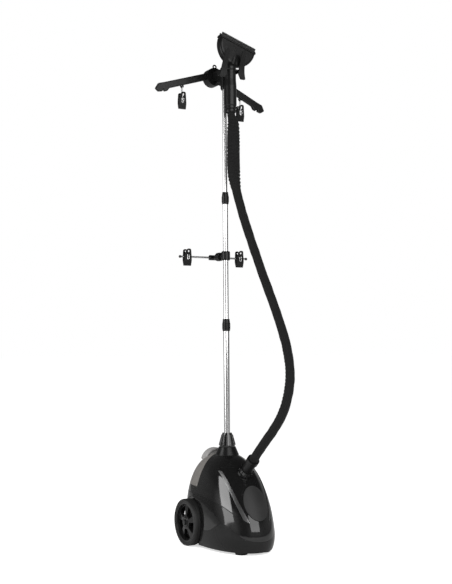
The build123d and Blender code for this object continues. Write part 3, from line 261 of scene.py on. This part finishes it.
def chrome(name, level=0.62, rough=0.12):
    """Plated tube, drawn along its length, with faint polishing lines."""
    finish = material(name, Metallic=1.0)
    spot = finish.place()
    lines = finish.grain(finish.stretched(spot, (700, 700, 6)), 1, 2)
    stain = finish.grain(spot, 20, 3)
    finish.set("Base Color", finish.blend(stain, grey(level * 0.93), grey(level)))
    finish.set("Roughness", rough + lines * 0.08 + stain * 0.04)
    finish.set("Normal", finish.bump(lines, 0.03, 0.00003))
    return finish.owner


DIP_START, DIP_FULL = 0.0105, 0.0095


def dipped_steel():
    """The trouser rail's steel, with its two ends dipped in black plastic."""
    finish = material("dipped_steel", IOR=1.5)
    rail_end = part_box("trouser_rail")[1][0]
    spot = finish.place()
    from_middle = finish.part(spot, 0).size()
    dip = from_middle.between(rail_end - DIP_START, rail_end - DIP_FULL)
    stain = finish.grain(spot, 30, 3)
    steel = finish.blend(stain, grey(0.36), grey(0.42))
    finish.set("Base Color", finish.blend(dip, steel, grey(0.008)))
    finish.set("Metallic", 1 - dip)
    finish.set("Roughness", 0.2 + stain * 0.06 + dip * 0.2)
    return finish.owner


def rubber():
    """Soft black rubber with a dusty bloom."""
    finish = material("rubber", IOR=1.5, Specular_IOR_Level=0.3)
    spot = finish.place()
    bloom = finish.grain(spot, 40, 4)
    grain = finish.grain(spot, 1200, 2)
    finish.set("Base Color", finish.blend(bloom, grey(0.008), grey(0.014)))
    finish.set("Roughness", 0.5 + bloom * 0.2)
    finish.set("Normal", finish.bump(grain, 0.5, 0.0002))
    return finish.owner


def cast_metal():
    """Sand-cast aluminium."""
    finish = material("cast_metal", Metallic=1.0)
    spot = finish.place()
    pits = finish.grain(spot, 700, 3)
    finish.set("Base Color", finish.blend(pits, grey(0.45), grey(0.62)))
    finish.set("Roughness", 0.42 + pits * 0.2)
    finish.set("Normal", finish.bump(pits, 0.5, 0.0003))
    return finish.owner


def silicone():
    """Milky silicone tube."""
    finish = material("silicone", IOR=1.42)
    haze = finish.grain(finish.place(), 60, 3)
    finish.set("Base Color", finish.blend(haze, grey(0.55), grey(0.68)))
    finish.set("Roughness", 0.3 + haze * 0.15)
    return finish.owner


THREADS_AROUND, THREADS_PER_METRE = 90, 900


def hose_fabric():
    """Black woven sleeve: plain weave along the hose, with a soft sheen."""
    sheen = {"Sheen_Weight": 0.03, "Sheen_Roughness": 0.5}
    finish = material("hose_fabric", IOR=1.45, Specular_IOR_Level=0.2, **sheen)
    uv = finish.place("UV")
    around, along = finish.part(uv, 0), finish.part(uv, 1)
    weft = (around * (2 * pi * THREADS_AROUND)).sine()
    warp = (along * (2 * pi * THREADS_PER_METRE)).sine()
    weave = weft * warp
    worn = finish.grain(finish.place(), 60, 3)
    thread = weave * 0.5 + 0.5
    wear = thread * 0.5 + worn * 0.5
    finish.set("Base Color", finish.blend(wear, grey(0.003), grey(0.008)))
    finish.set("Roughness", 0.72 + worn * 0.15)
    finish.set("Normal", finish.bump(weave, 0.4, 0.0003))
    return finish.owner


def nylon():
    """Black nylon strands, with random streaks of tone and shine."""
    finish = material("nylon", IOR=1.53)
    streaks = finish.grain(finish.place(), 500, 2)
    finish.set("Base Color", finish.blend(streaks, grey(0.01), grey(0.025)))
    finish.set("Roughness", 0.3 + streaks * 0.2)
    return finish.owner


FINISHES = {
    "gloss": gloss_black("gloss_black", 0.7),
    "semigloss": gloss_black("semigloss_black", 0.42),
    "pan": moulded("pan_grain", 0.008, 0.22, 1600, 0.00004),
    "pedal": moulded("pedal_grain", 0.02, 0.5),
    "satin": moulded("satin_black", 0.006, 0.3, 2200, 0.00006),
    "grip": moulded("grip_grey", 0.28, 0.3, 900, 0.00004, 0.02),
    "tank": smoke_tank(),
    "chrome": chrome("chrome"),
    "trim": chrome("trim_silver", 0.2, 0.26),
    "steel": chrome("steel", 0.4, 0.22),
    "spring": chrome("spring_steel", 0.85, 0.2),
    "rail": dipped_steel(),
    "rubber": rubber(),
    "cast": cast_metal(),
    "silicone": silicone(),
    "fabric": hose_fabric(),
    "nylon": nylon(),
}

NODE_FINISHES = {
    "gloss": ["hood", "hose_port", "port_ring", "pole_nut"],
    "semigloss": ["lower_body"],
    "pan": ["pan", "wheel_left", "wheel_right"],
    "pedal": ["foot_pedal"],
    "grip": ["tank_grip"],
    "tank": ["water_tank"],
    "chrome": ["lower_tube", "middle_tube", "upper_tube"],
    "trim": ["front_trims"],
    "rail": ["trouser_rail"],
    "steel": ["clip_link_left", "clip_link_right", "steam_plate", "steam_pipe"],
    "rubber": ["front_feet", "tyre_left", "tyre_right", "cord_gland"],
    "cast": ["boiler"],
    "silicone": ["feed_tube"],
    "nylon": ["bristles"],
}


def add_object(name, data):
    """A new object in the scene."""
    added = bpy.data.objects.new(name, data)
    bpy.context.scene.collection.objects.link(added)
    return added


def dress(piece, finish):
    """The piece gets that finish alone."""
    piece.data.materials.clear()
    piece.data.materials.append(FINISHES[finish])


def dress_nodes():
    """Every node of the frame gets its finish; what isn't listed is satin black."""
    listed = {node: finish for finish, nodes in NODE_FINISHES.items() for node in nodes}
    for name, piece in frame["nodes"].items():
        dress(piece, listed.get(name, "satin"))


# Hose


LINE_STEPS = 40


def hose_line():
    """Points along the hose's smooth line, read from a spline on its route."""
    lead = [port_point(HOSE_START), port_point(HOSE_START + HOSE_LEAD)]
    route = lead + [place(*point) for point in HOSE_ROUTE]
    curve = bpy.data.curves.new("hose_line", "CURVE")
    curve.dimensions = "3D"
    curve.resolution_u = LINE_STEPS
    spline = curve.splines.new("NURBS")
    spline.points.add(len(route) - 1)
    for point, spot in zip(spline.points, route):
        point.co = (*spot, 1)
    spline.order_u = 3
    spline.use_endpoint_u = True
    guide = add_object("hose_guide", curve)
    bpy.context.view_layer.update()
    evaluated = guide.evaluated_get(bpy.context.evaluated_depsgraph_get())
    drawn = bpy.data.meshes.new_from_object(evaluated)
    points = [vertex.co.copy() for vertex in drawn.vertices]
    bpy.data.objects.remove(guide)
    bpy.data.curves.remove(curve)
    bpy.data.meshes.remove(drawn)
    return points


def even_steps(points, step):
    """The same line with its points a step apart."""
    steps, carried = [points[0]], 0.0
    for start, end in zip(points, points[1:]):
        run = (end - start).length
        while carried + run >= step:
            start = start.lerp(end, (step - carried) / run)
            run = (end - start).length
            carried = 0.0
            steps.append(start)
        carried += run
    return steps


RING_STEP, RING_SIDES = 0.0025, 44
BEND_RINGS = 12
SLEEVE_REACH, SLEEVE_INSET = 0.0206, 0.0004
GATHER_Z, GATHER_HALF, GATHER_STAND = 1.245, 0.117, 0.0062
TIE_Z, TIE_RUN, TIE_DEPTH = 1.35, 0.02, 0.0018
PLEAT_RATE, PLEAT_DEPTH, PLEAT_DRIFT, PLEAT_TWIST = 520, 0.0011, 5, 1.3
CREASE_RATE, CREASE_DEPTH, CREASE_SPREAD = 46, 0.0009, 1.6
SLACK_RATE, SLACK_DEPTH, SLACK_SPREAD, SLACK_SEED = 17, 0.0006, 0.9, 5.0
DRIFT_RATE, DRIFT_SEED = 9, 3.1
GATHER_SLACK, GATHER_PLEATS = 0.3, 0.25
BEND_SHARE = 0.16


def gather(z):
    """How far the sleeve stands off the hose: bunched below the handset, tied in at its top."""
    bunched = GATHER_STAND * max(0.0, 1 - ((z - GATHER_Z) / GATHER_HALF) ** 4)
    tied = TIE_DEPTH * max(0.0, min(1.0, (z - TIE_Z) / TIE_RUN))
    return bunched - tied


def sleeve_ring(centre, along, side, bend, distance):
    """One ring of the fabric sleeve, with its ruffles on the inside of the bend."""
    across = along.cross(side)
    inner = bend.normalized() if bend.length > 1e-9 else side
    tightness = min(1.0, bend.length * BEND_SHARE)
    puff = gather(centre.z)
    ring = []
    for corner in range(RING_SIDES):
        turn = 2 * pi * corner / RING_SIDES
        ray = side * cos(turn) + across * sin(turn)
        facing = max(0.0, ray.dot(inner)) * tightness
        drift = noise.noise(Vector((distance * DRIFT_RATE, turn, DRIFT_SEED)))
        pleat = sin(distance * PLEAT_RATE + PLEAT_DRIFT * drift + PLEAT_TWIST * sin(turn * 2))
        crease = noise.noise(ray * CREASE_SPREAD + Vector((0, 0, distance * CREASE_RATE)))
        slack = noise.noise(ray * SLACK_SPREAD + Vector((distance * SLACK_RATE, SLACK_SEED, 0)))
        bulge = puff * (1 + GATHER_SLACK * slack + GATHER_PLEATS * pleat)
        folds = PLEAT_DEPTH * facing * pleat + CREASE_DEPTH * crease + SLACK_DEPTH * slack
        reach = HOSE_RADIUS - SLEEVE_INSET + bulge + folds
        ring.append(centre + ray * min(reach, SLEEVE_REACH))
    return ring


def neighbours(points, index, steps):
    """The points that many steps before and after one, or the line's ends."""
    return points[max(index - steps, 0)], points[min(index + steps, len(points) - 1)]


def hose_piece(name, points, first_distance):
    """A length of the fabric sleeve as a tube round its line."""
    mesh = bmesh.new()
    layer = mesh.loops.layers.uv.new("sleeve")
    side = Vector((1, 0, 0))
    rings = []
    for index, centre in enumerate(points):
        before, after = neighbours(points, index, 1)
        along = (after - before).normalized()
        side = (side - along * side.dot(along)).normalized()
        low, high = neighbours(points, index, BEND_RINGS)
        bend = (low + high - 2 * centre) / (BEND_RINGS * RING_STEP) ** 2
        ring = sleeve_ring(centre, along, side, bend, first_distance + index * RING_STEP)
        rings.append([mesh.verts.new(spot) for spot in ring])
    for index, (lower, upper) in enumerate(zip(rings, rings[1:])):
        for corner in range(RING_SIDES):
            following = (corner + 1) % RING_SIDES
            face = mesh.faces.new((lower[corner], lower[following], upper[following], upper[corner]))
            face.smooth = True
            spots = ((corner, index), (corner + 1, index), (corner + 1, index + 1), (corner, index + 1))
            for loop, (u, v) in zip(face.loops, spots):
                loop[layer].uv = (u / RING_SIDES, first_distance + v * RING_STEP)
    for ring in (rings[0], list(reversed(rings[-1]))):
        mesh.faces.new(list(reversed(ring)))
    data = bpy.data.meshes.new(name)
    mesh.to_mesh(data)
    mesh.free()
    piece = add_object(name, data)
    dress(piece, "fabric")
    return piece


def line_length(points):
    """The length of a line through the points."""
    return sum((end - start).length for start, end in zip(points, points[1:]))


def hose():
    """The fabric-covered hose in two lengths, the lower riding on the base and the upper on the middle pole.

    The drops of the pole's slides are worked out for each length, but nothing shortens it by them.
    """
    points = even_steps(hose_line(), RING_STEP)
    split = next(index for index, point in enumerate(points) if point.z > HOSE_SPLIT_Z)
    lengths = {
        "hose_lower": ("base", "middle_slide", points[: split + 1], 0),
        "hose_upper": ("middle_pole", "upper_slide", points[split:], split * RING_STEP),
    }
    slides = {joint["name"]: joint for joint in frame["joints"]}
    drops = {name: -slides[name]["range_m"][0] for name in ("middle_slide", "upper_slide")}
    drops["upper_slide"] += HOSE_END_SLACK
    for node, (body, joint, line, distance) in lengths.items():
        piece = hose_piece(f"{node}_sleeve", line, distance)
        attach(piece, body)
        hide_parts(node)
        height = line[-1].z - line[0].z
        1 - drops[joint] / height
        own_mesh(piece)
        round(line_length(line), 3)


# Small pieces on the base


def new_piece(name, mesh, finish, body):
    """A piece from a finished bmesh, dressed and riding on its body."""
    data = bpy.data.meshes.new(name)
    mesh.to_mesh(data)
    mesh.free()
    piece = add_object(name, data)
    dress(piece, finish)
    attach(piece, body)
    return piece


def skin_of(node):
    """A CAD node's surface, for finding places on it."""
    data = frame["nodes"][node].data
    return BVHTree.FromPolygons([v.co for v in data.vertices], [p.vertices for p in data.polygons])


RIB_STAND = 0.0009


def trim_ribs():
    """The front trims with bright ribs; the grooves between them get satin black as painted shade."""
    mesh = bmesh.new()
    mesh.from_mesh(frame["nodes"]["front_trims"].data)
    skins = [skin_of(node) for node in ("hood", "lower_body")]
    for face in mesh.faces:
        spot = face.calc_center_median()
        stand = min(skin.find_nearest(spot)[3] for skin in skins)
        # faces low in the grooves take satin black: painted shade between the ribs
        face.material_index = 0 if stand > RIB_STAND else 1
    piece = new_piece("trim_ribs", mesh, "trim", "base")
    piece.data.materials.append(FINISHES["satin"])
    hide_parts("front_trims")


# Size of the dark strip that paints the shade in the seam under the hood.
SHADOW_STRIP_WIDTH, SHADOW_STRIP_STAND, SHADOW_STRIP_THICK = 0.0028, 0.00012, 0.0003
UNDERSIDE, OUTER_SIDE, RIM_REACH = -0.6, -0.5, 0.05


def seam_shadow_strip():
    """A dark strip laid along the seam under the hood: painted shade in the seam's gap."""
    hood = bmesh.new()
    hood.from_mesh(frame["nodes"]["hood"].data)
    bmesh.ops.remove_doubles(hood, verts=hood.verts, dist=1e-6)
    axis = Vector((0, POLE_Y, 0))
    rim, out = [], {}
    for edge in hood.edges:
        under = [face for face in edge.link_faces if face.normal.z < UNDERSIDE]
        skin = [face for face in edge.link_faces if face.normal.z > OUTER_SIDE]
        if len(under) == 1 and len(skin) == 1:
            middle = (edge.verts[0].co + edge.verts[1].co) / 2
            if (middle - axis).dot(skin[0].normal) > RIM_REACH:
                rim.append(edge)
                for vert in edge.verts:
                    out[vert] = out.get(vert, Vector()) + skin[0].normal
    mesh = bmesh.new()
    rows = {}
    for vert, normal in out.items():
        normal.normalize()
        top = vert.co + normal * SHADOW_STRIP_STAND
        down = (normal * normal.z - Vector((0, 0, 1))).normalized()
        rows[vert] = (mesh.verts.new(top), mesh.verts.new(top + down * SHADOW_STRIP_WIDTH))
    for edge in rim:
        (a, b), (c, d) = (rows[vert] for vert in edge.verts)
        mesh.faces.new((a, b, d, c))
    bmesh.ops.recalc_face_normals(mesh, faces=mesh.faces)
    bmesh.ops.solidify(mesh, geom=mesh.faces[:], thickness=SHADOW_STRIP_THICK)
    bmesh.ops.recalc_face_normals(mesh, faces=mesh.faces)
    hood.free()
    # the strip is satin black: painted shade in the seam
    new_piece("seam_shadow_strip", mesh, "satin", "base")


GRIP_Y, GRIP_RADIUS, GRIP_CENTRE_Z, GRIP_FOOT_Z = 0.104, 0.0382, 0.2535, 0.268
LID_BACK, LID_THICK, LID_CROWN = 0.0125, 0.003, 0.004
LID_HALF, LID_MIDDLE_Z, LID_SPREAD = 0.0315, 0.279, pi / 2 - 0.6
LID_STEPS, LID_RINGS = 28, 5


def grip_lid():
    """The crowned wall that closes the tank's grip towards the pole."""
    spread = LID_SPREAD / (LID_STEPS / 2)
    arc = [pi / 2 + spread * (step - LID_STEPS / 2) for step in range(LID_STEPS + 1)]
    rim = [(GRIP_RADIUS * cos(turn), GRIP_CENTRE_Z + GRIP_RADIUS * sin(turn)) for turn in arc]
    rim += [(-LID_HALF, GRIP_FOOT_Z), (LID_HALF, GRIP_FOOT_Z)]
    mesh = bmesh.new()
    front = GRIP_Y - LID_BACK
    loops = []
    for ring in range(LID_RINGS):
        share = 1 - ring / LID_RINGS
        y = front - LID_CROWN * (1 - share * share)
        spots = [(x * share, y, LID_MIDDLE_Z + (z - LID_MIDDLE_Z) * share) for x, z in rim]
        loops.append([mesh.verts.new(spot) for spot in spots])
    back = [mesh.verts.new((x, front + LID_THICK, z)) for x, z in rim]
    for inner, outer in zip([back, *loops], loops):
        for index in range(len(rim)):
            following = (index + 1) % len(rim)
            mesh.faces.new((inner[index], inner[following], outer[following], outer[index]))
    mesh.faces.new(loops[-1])
    mesh.faces.new(list(reversed(back)))
    bmesh.ops.recalc_face_normals(mesh, faces=mesh.faces)
    for face in mesh.faces:
        face.smooth = True
    new_piece("grip_lid", mesh, "grip", "tank")


# Clip springs

SPRING_HALF, SPRING_TOP, SPRING_FOOT = 0.0032, 0.0065, -0.0085
SPRING_FOOT_SHARE, SPRING_WIRE = 0.9, 0.0008
CAST_FROM = 0.01


def body_of(node):
    """The body that carries a CAD node."""
    bodies = frame["record"]["behaviour"]["bodies"]
    return next(body for body, nodes in bodies.items() if node in nodes)


def clip_spring(node, joint):
    """The bent spring wire that shows on a clip's front jaw, at its pin."""
    skin = skin_of(node)
    low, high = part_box(node)
    middle, pin_z = (low[0] + high[0]) / 2, joint["pos_m"][2]
    leg = [(1, SPRING_TOP), (1, 0), (SPRING_FOOT_SHARE, SPRING_FOOT)]
    corners = [(-share, rise) for share, rise in leg] + leg[::-1]
    curve = bpy.data.curves.new(f"{node}_spring", "CURVE")
    curve.dimensions = "3D"
    curve.bevel_depth = SPRING_WIRE
    curve.use_fill_caps = True
    spline = curve.splines.new("NURBS")
    spline.points.add(len(corners) - 1)
    for point, (share, rise) in zip(spline.points, corners):
        start = Vector((middle + share * SPRING_HALF, low[1] - CAST_FROM, pin_z + rise))
        spot = skin.ray_cast(start, Vector((0, 1, 0)))[0]
        point.co = (spot.x, spot.y - SPRING_WIRE / 2, spot.z, 1)
    spline.order_u = 3
    spline.use_endpoint_u = True
    piece = add_object(f"{node}_spring", curve)
    dress(piece, "spring")
    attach(piece, body_of(node))


def clip_springs():
    """A spring on each of the four clips."""
    pins = {joint["name"]: joint for joint in frame["record"]["behaviour"]["joints"]}
    for side in ("left", "right"):
        clip_spring(f"clip_{side}_front", pins[f"{side}_hanging_jaw_open"])
        clip_spring(f"rail_clip_{side}_front", pins[f"{side}_rail_jaw_open"])


# Studio

VIEW_TURN, VIEW_LEAN = radians(30), 0.0079
VIEW_DISTANCE, VIEW_HEIGHT, VIEW_REACH = 3.2, 0.64, 50
SENSOR, FRAME_HEIGHT, FOCAL_PIXELS = 36, 584, 997
HORIZON_DROP, POLE_OFFSET = 50.3, 0.4


def area_light(name, spot, aim, along, size, power):
    """A soft box at a spot, turned to what it lights, with its width along a direction."""
    spot, aim = Vector(spot), Vector(aim)
    back = (spot - aim).normalized()
    across = Vector(along)
    across = (across - back * across.dot(back)).normalized()
    data = bpy.data.lights.new(name, "AREA")
    data.shape = "RECTANGLE"
    data.size, data.size_y = size
    data.energy = power
    lamp = add_object(name, data)
    turn = Matrix((across, back.cross(across), back)).transposed()
    lamp.matrix_world = Matrix.Translation(spot) @ turn.to_4x4()


WALL_STOPS = [
    (0.0, 0.4),
    (0.07, 0.08),
    (0.24, 0.08),
    (0.29, 0.75),
    (0.37, 0.7),
    (0.42, 0.06),
    (0.47, 0.06),
    (0.53, 0.45),
    (0.63, 0.45),
    (0.70, 0.25),
    (0.90, 0.3),
    (1.0, 0.6),
]
PANEL_FOOT, PANEL_TOP = (-0.14, 0.12), (0.24, 0.42)
ROOM_LIGHT, BACK_LIGHT, BACK_EDGE = 0.03, 0.08, (0.2, 0.95)
SOFT_LIGHT, FLOOR_GLOW, FLOOR_REACH = 0.45, 0.6, 80


def studio_world():
    """A white backdrop for the eye; in reflections a dim room with light and dark wall panels."""
    world = bpy.data.worlds.new("studio")
    bpy.context.scene.world = world
    finish = Finish(world)
    background = finish.tree.nodes["Background"]
    path = finish.add("ShaderNodeLightPath", {}).socket.node.outputs
    seen = Value(finish, path["Is Camera Ray"])
    through = Value(finish, path["Is Transmission Ray"])
    mirrored = Value(finish, path["Is Glossy Ray"])
    ray = finish.place("Generated")
    x, y, z = (finish.part(ray, axis) for axis in range(3))
    forward = y * -cos(VIEW_TURN) - x * sin(VIEW_TURN)
    sideways = x * cos(VIEW_TURN) - y * sin(VIEW_TURN)
    turn = sideways.math("ARCTAN2", sideways, forward) / (2 * pi) + 0.5
    stops = [(position, (level, level, level)) for position, level in WALL_STOPS]
    panels = finish.add("ShaderNodeValToRGB", {"stops": stops}, turn)
    height = z.between(*PANEL_FOOT) * (1 - z.between(*PANEL_TOP))
    behind = y.between(*BACK_EDGE)
    room = ROOM_LIGHT + panels * height + behind * BACK_LIGHT
    direct = seen.math("MAXIMUM", seen, through)
    soft = (1 - direct.math("MAXIMUM", direct, mirrored)) * SOFT_LIGHT
    finish.join(background.inputs["Color"], grey(1.0))
    finish.join(background.inputs["Strength"], direct + mirrored * room * (1 - direct) + soft)


def floor():
    """A wide pale floor, lifted to white for the eye alone."""
    mesh = bmesh.new()
    bmesh.ops.create_grid(mesh, x_segments=2, y_segments=2, size=FLOOR_REACH)
    data = bpy.data.meshes.new("studio_floor")
    mesh.to_mesh(data)
    mesh.free()
    piece = add_object("studio_floor", data)
    finish = material("floor_white", Roughness=0.9, Specular_IOR_Level=0.1, Emission_Strength=FLOOR_GLOW)
    path = finish.add("ShaderNodeLightPath", {}).socket.node.outputs
    seen = Value(finish, path["Is Camera Ray"])
    finish.set("Emission Color", finish.blend(seen, grey(0.0), grey(1.0)))
    spots = finish.grain(finish.place(), 2, 2)
    finish.set("Base Color", finish.blend(spots, grey(0.93), grey(0.95)))
    data.materials.append(finish.owner)


def camera():
    """The photographer's view: from the front on the object's right, a little below its middle."""
    data = bpy.data.cameras.new("view")
    data.sensor_width = SENSOR
    data.lens = SENSOR * FOCAL_PIXELS / FRAME_HEIGHT
    data.clip_end = VIEW_REACH
    eye = add_object("view", data)
    aside, ahead = VIEW_DISTANCE * sin(VIEW_TURN), VIEW_DISTANCE * cos(VIEW_TURN)
    eye.location = place(-aside, ahead, VIEW_HEIGHT)
    pitch, yaw = HORIZON_DROP / FOCAL_PIXELS, POLE_OFFSET / FOCAL_PIXELS
    eye.rotation_euler = (pi / 2 + pitch, VIEW_LEAN, -VIEW_TURN + yaw)
    bpy.context.scene.camera = eye


def studio():
    """The world, the floor, two soft boxes and the camera."""
    studio_world()
    floor()
    area_light(
        "side_box",
        spot=(-1.81, 0.12, 0.95),
        aim=(-0.07, -0.09, 0.16),
        along=(0.21, -1.19, 0.34),
        size=(0.92, 1.48),
        power=22,
    )
    area_light(
        "front_box",
        spot=(0.0, -2.15, 1.40),
        aim=(0, -0.1, 0.15),
        along=(1, 0, 0),
        size=(1.8, 1.9),
        power=48,
    )
    camera()
    bpy.context.scene.view_settings.view_transform = "Standard"


dress_nodes()
hose()
trim_ribs()
seam_shadow_strip()
grip_lid()
clip_springs()
studio()
